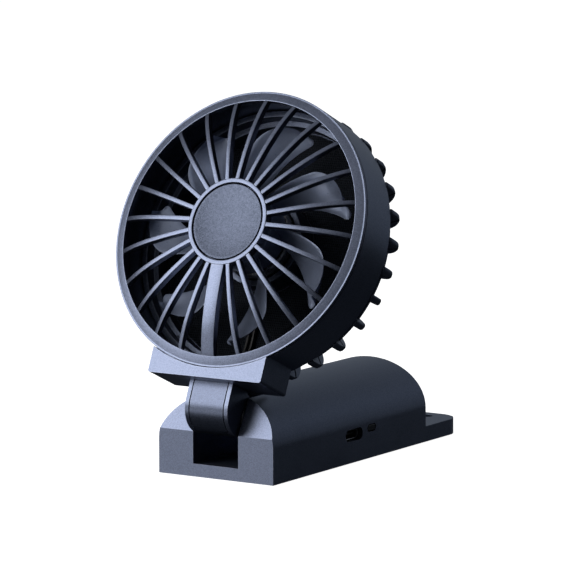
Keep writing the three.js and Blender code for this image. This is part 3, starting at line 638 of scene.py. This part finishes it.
def cage_corner(start, end, steps):
    """Points on the fins' rounded corner between two angles in degrees."""
    centre = Vector((FIN_OUTER - CAGE_CORNER, CAGE_BACK + CAGE_CORNER))
    turns = [math.radians(start + (end - start) * k / steps) for k in range(steps + 1)]
    return [centre + CAGE_CORNER * Vector((math.cos(turn), math.sin(turn))) for turn in turns]


def add_fins(bm, outline):
    """Flat fins with rounded long edges."""
    loops = [
        [(r, side * FIN_WIDTH / 2, h) for r, h in inset_outline(outline, inset)]
        for side, inset in FIN_LAYERS
    ]
    angles = [FIN_FIRST + i * 360 / FIN_COUNT for i in range(FIN_COUNT)]
    turned_copies(bm, loft(bm, loops), angles)


def make_rear_ring():
    bm = bmesh.new()
    corners = [
        (SPIGOT[0], SPIGOT_FRONT), (SPIGOT[1], SPIGOT_FRONT), (SPIGOT[1], SHOULDER),
        (BOWL[1], SHOULDER), (BOWL[1], BOWL_BACK), (BOWL[0], BOWL_BACK), (BOWL[0], SHOULDER + 1),
        (SPIGOT[0], SHOULDER + 1),
    ]
    lathe(bm, fillet(corners, [0.3, 0.3, 0.2, 0, 0.25, 0.2, 0.3, 0.3]), TURNED_STEPS)
    front = HOUSING_BACK - FIT_GAP
    tip = [(FIN_OUTER, front - 1), (FIN_OUTER, front), (FIN_FOOT, front)]
    rounded = fillet(tip, [0, FIN_FRONT_ROUND, 0], 3)[1:]
    add_fins(bm, [Vector((FIN_FOOT, BOWL_BACK)), *cage_corner(-17, 0, 3), *rounded])
    piece("ring_rear", bm, "fan_head", MATERIALS["rear"], ["rear_ring"])


def slot_and_sector():
    """Matching outlines of one intake slot and of the sector of plate around it."""
    half = INTAKE_WIDTH / 2
    reach = (INTAKE[0] + half, INTAKE[1] - half)
    edge = math.pi / FIN_COUNT
    slot, sector = [], []
    for start, end, plate_start, plate_end, sign in (
        (reach[1], reach[0], BOWL[1], PLATE_INNER, 1),
        (reach[0], reach[1], PLATE_INNER, BOWL[1], -1),
    ):
        for k in range(SLOT_END_STEPS):
            share = k / SLOT_END_STEPS
            turn = math.pi * (share - sign * 0.5)
            slot.append((start + half * math.cos(turn), half * math.sin(turn)))
            sector.append((plate_start, sign * edge * (2 * share - 1)))
        for k in range(SLOT_SIDE_STEPS):
            share = k / SLOT_SIDE_STEPS
            slot.append((start + share * (end - start), sign * half))
            sector.append((plate_start + share * (plate_end - plate_start), sign * edge))
    return slot, [(r * math.cos(turn), r * math.sin(turn)) for r, turn in sector]


def make_plate_sector(bm):
    """A sector of the back plate with one slot through it, open where the next sector joins it."""
    slot, sector = slot_and_sector()
    front, back = PLATE
    count = len(slot)
    rows = [
        [bm.verts.new((x, y, height)) for x, y in outline]
        for outline, height in ((sector, front), (slot, front), (slot, back), (sector, back))
    ]
    for row, other in zip(rows, rows[1:]):
        for k in range(count):
            face_from(bm, row[k], row[(k + 1) % count], other[(k + 1) % count], other[k])
    for first in (0, SLOT_END_STEPS + SLOT_SIDE_STEPS):
        for k in range(first, first + SLOT_END_STEPS):
            face_from(bm, rows[3][k], rows[3][k + 1], rows[0][k + 1], rows[0][k])
    return [vert for row in rows for vert in row]


def make_rear_grille():
    bm = bmesh.new()
    step = 360 / FIN_COUNT
    angles = [FIN_FIRST + (i + 0.5) * step for i in range(FIN_COUNT)]
    turned_copies(bm, make_plate_sector(bm), angles)
    bmesh.ops.remove_doubles(bm, verts=bm.verts, dist=0.001)
    inner = PLATE_INNER + 0.1
    back = [
        Vector((inner, CUP_BACK + 1)), Vector((inner + 5, CAGE_BACK)),
        *cage_corner(-90, -19.5, 7), Vector((inner, PLATE[0])),
    ]
    add_fins(bm, back)
    piece("grille_rear", bm, "fan_head", MATERIALS["rear"], ["rear_grille"])


def make_motor_cup():
    bm = bmesh.new()
    outline = (CUP_OUTER, CUP_OUTER + CUP_BEAD, CUP_OUTER + CUP_BEAD, CUP_OUTER)
    corners = [
        (0, CUP_BACK), (CUP_OUTER, CUP_BACK), *zip(outline, CUP_BEAD_DEPTHS),
        (CUP_OUTER, CUP_FRONT), (CUP_INNER, CUP_FRONT), (CUP_INNER, CUP_FLOOR), (0, CUP_FLOOR),
    ]
    lathe(bm, fillet(corners, [0, 0.7, 0, 0, 0, 0, 0.3, 0.3, 0.2, 0]), TURNED_STEPS)
    piece("cup_rear", bm, "fan_head", MATERIALS["rear"], ["motor_cup"])


# ---- impeller ----


def edge_angle(span, root, back, end_turn, end_share):
    """The angle in degrees of one of a blade's edges, with its end turned in as a quarter round."""
    late = max(0.0, (span - (1 - end_share)) / end_share)
    return root - back * span + end_turn * (1 - math.sqrt(max(0.0, 1 - late * late)))


def blade_point(span, chord, side):
    """A point of a blade: span from root to tip, chord from edge to edge, side -1 to 1."""
    radius = BLADE_ROOT + span * (BLADE_TIP - BLADE_ROOT)
    leading = edge_angle(span, *LEADING_EDGE)
    trailing = edge_angle(span, *TRAILING_EDGE)
    angle = math.radians(leading + chord * (trailing - leading))
    rise = (BLADE_PITCH[0] - BLADE_PITCH[1] * span) * chord ** BLADE_CAMBER
    edge = min(chord, 1 - chord, (1 - span) * 1.2)
    thin = math.sqrt(min(1.0, max(0.04, edge / 0.1)))
    thickness = BLADE_THICKNESS * (1 - BLADE_THINNING * span) * thin
    depth = BLADE_DEPTH[0] + BLADE_DEPTH[1] * span + rise + side * thickness / 2
    return radius * math.cos(angle), radius * math.sin(angle), depth


def make_blade(bm):
    around = [k / BLADE_CHORDS for k in range(BLADE_CHORDS + 1)]
    eased = [(1 - math.cos(math.pi * chord)) / 2 for chord in around]
    rows = []
    for i in range(BLADE_SPANS + 1):
        span = 1 - (1 - i / BLADE_SPANS) ** 1.6
        front = [blade_point(span, chord, 1) for chord in eased]
        back = [blade_point(span, chord, -1) for chord in reversed(eased)]
        rows.append(front + back)
    return loft(bm, rows)


def make_impeller():
    bm = bmesh.new()
    skirt = IMPELLER_HUB - IMPELLER_WALL
    corners = [
        (0, 2.0), (7.5, 1.75), (10.8, 0.8), (IMPELLER_HUB, -0.6), (IMPELLER_HUB, IMPELLER_BACK),
        (skirt, IMPELLER_BACK), (skirt, -0.8), (9.8, 0), (BOSS_RADIUS, 0.6),
        (BOSS_RADIUS, BOSS_BACK), (SHAFT_BORE, BOSS_BACK), (SHAFT_BORE, 0.1), (0, 0.1),
    ]
    rounds = [0, 4, 2, 1, 0.3, 0.3, 0.5, 0.5, 0.3, 0.2, 0, 0, 0]
    lathe(bm, fillet(corners, rounds), IMPELLER_STEPS)
    angles = [BLADE_FIRST + i * 360 / BLADE_COUNT for i in range(BLADE_COUNT)]
    turned_copies(bm, make_blade(bm), angles)
    piece("fan_blades", bm, "rotor", MATERIALS["blade"], ["impeller"], 50)


# ---- CAD nodes that keep their shape ----

# node: (material, edge rounding in millimetres)
KEPT = {
    "handle_shell": ("shell", 0.3),
    "bottom_cover": ("shell", 0.25),
    "power_button": ("shell", 0.3),
    "hinge_pin_cap": ("shell", 0.1),
    "hinge_arm": ("shell", 0.3),
    "arm_panel": ("panel", 0.2),
    "rear_housing": ("shell", 0.3),
    "led_window": ("smoked", 0.1),
    "main_board": ("board", 0.1),
    "usb_receptacle": ("nickel", 0.1),
    "usb_tongue": ("dark_plastic", 0.1),
    "status_led": ("milky", 0.15),
    "charge_chip": ("dark_plastic", 0.1),
    "boost_inductor": ("ferrite", 0.2),
    "power_switch": ("dark_plastic", 0.15),
    "battery_cell": ("foil", 0.3),
    "battery_pad": ("foam", 0.4),
    "hinge_pin": ("steel", 0.2),
    "friction_washer_left": ("steel", 0.08),
    "friction_washer_right": ("steel", 0.08),
    "motor_can": ("nickel", 0.1),
    "motor_magnet": ("ferrite", 0.15),
    "motor_end_plate": ("dark_plastic", 0.1),
    "motor_bush": ("bronze", 0.1),
    "motor_armature": ("copper", 0.2),
    "motor_shaft": ("steel", 0.1),
    "motor_lead_1": ("black_lead", 0.05),
    "motor_lead_2": ("black_lead", 0.05),
    "dust_filter": ("filter", 0.05),
}
SCREWS = [
    *[f"cover_screw_{i}" for i in range(1, 5)],
    "arm_screw_1", "arm_screw_2", "motor_screw_1", "motor_screw_2",
]


def finish_node(name, material, rounding):
    """Paints a CAD node, merges its facets into flat faces and rounds its edges."""
    made = frame["nodes"][name]
    made.data.materials.clear()
    made.data.materials.append(MATERIALS[material])
    weld = made.modifiers.new("weld", "WELD")
    weld.merge_threshold = WELD_REACH * MM
    flat = made.modifiers.new("flat_faces", "DECIMATE")
    flat.decimate_type = "DISSOLVE"
    flat.angle_limit = math.radians(FLAT_LIMIT)
    round_edges(made, rounding)
    made.data.shade_smooth()


def finish_kept_nodes():
    for name, (material, rounding) in KEPT.items():
        finish_node(name, material, rounding)
    for name in SCREWS:
        finish_node(name, "steel", SCREW_ROUND)


# ---- studio, in metres ----

FLOOR_HALF = 20
FLOOR_DROP = 0.0002  # keeps the floor clear of the object's underside
HEAD = (0, 0.01, 0.07)
MIDDLE = (0, 0.02, 0.05)
CAMERA_AT = (0.6495, -0.9807, 0.2196)
CAMERA_AIM = (0.0078, 0.0204, 0.0575)
CAMERA_LENS = 244.9  # millimetres, on a sensor 36 wide


def make_floor():
    """White to the camera, unseen by the light that falls on the object."""
    bm = bmesh.new()
    bmesh.ops.create_grid(bm, x_segments=8, y_segments=8, size=FLOOR_HALF)
    mesh = bpy.data.meshes.new("floor")
    bm.to_mesh(mesh)
    bm.free()
    material, tree, shader = new_material("floor_white", Roughness=0.9)
    tone = noise(tree, millimetres(tree), 0.004, 3.0)
    white = blend_colour(tree, tone, (0.86, 0.86, 0.87), (0.9, 0.9, 0.91))
    tree.links.new(white, shader.inputs["Base Color"])
    shader.inputs["Emission Color"].default_value = (1, 1, 1, 1)
    shader.inputs["Emission Strength"].default_value = 1.0
    mesh.materials.append(material)
    floor = bpy.data.objects.new("floor", mesh)
    floor.location.z = -FLOOR_DROP
    floor.visible_diffuse = False
    floor.visible_shadow = False
    floor.visible_glossy = False
    bpy.context.scene.collection.objects.link(floor)


def area_light(
    name, target, direction, distance, size, power, shape="RECTANGLE", colour=(1, 1, 1),
):
    """A panel at this distance from its target, in this direction, facing it."""
    light = bpy.data.lights.new(name, "AREA")
    light.shape = shape
    light.size, light.size_y = size
    light.energy = power
    light.color = colour
    made = bpy.data.objects.new(name, light)
    towards = Vector(direction).normalized()
    made.location = Vector(target) + towards * distance
    made.rotation_euler = towards.to_track_quat("Z", "Y").to_euler()
    made.visible_camera = False
    bpy.context.scene.collection.objects.link(made)


def make_lights():
    """A round key with a wide dim wash around it, a low panel in front and a dim wide panel behind."""
    area_light("key", HEAD, (-0.61, -0.69, 0.385), 0.7, (0.52, 0.52), 2.6, "ELLIPSE")
    area_light("wash", HEAD, (-0.5, -0.55, 0.67), 1.3, (2.6, 2.6), 7.0, "ELLIPSE")
    area_light("low_front", MIDDLE, (-0.55, -0.83, -0.2), 1.1, (0.9, 0.26), 1.15)
    area_light(
        "back", MIDDLE, (-0.03, 0.97, 0.26), 1.5, (2.4, 1.3), 2.3, colour=(0.78, 0.88, 1),
    )


def make_world():
    """White to the camera, dim to everything else."""
    world = bpy.data.worlds.new("studio")
    bpy.context.scene.world = world
    world.use_nodes = True
    tree = world.node_tree
    tree.nodes.clear()
    seen = node(tree, "ShaderNodeBackground", Color=(1, 1, 1, 1), Strength=1.1)
    felt = node(tree, "ShaderNodeBackground", Color=(0.75, 0.85, 1, 1), Strength=0.03)
    camera_ray = node(tree, "ShaderNodeLightPath").outputs["Is Camera Ray"]
    both = node(
        tree, "ShaderNodeMixShader", _0=camera_ray, _1=felt.outputs[0], _2=seen.outputs[0],
    )
    node(tree, "ShaderNodeOutputWorld", Surface=both.outputs[0])


def make_camera():
    camera = bpy.data.cameras.new("camera")
    camera.lens = CAMERA_LENS
    camera.sensor_width = 36
    made = bpy.data.objects.new("camera", camera)
    made.location = CAMERA_AT
    towards = Vector(CAMERA_AIM) - made.location
    made.rotation_euler = towards.to_track_quat("-Z", "Y").to_euler()
    bpy.context.scene.collection.objects.link(made)
    bpy.context.scene.camera = made
    bpy.context.scene.view_settings.view_transform = "Standard"


make_front_grille()
make_hub_cap()
make_rear_ring()
make_rear_grille()
make_motor_cup()
make_impeller()
finish_kept_nodes()
make_floor()
make_lights()
make_world()
make_camera()
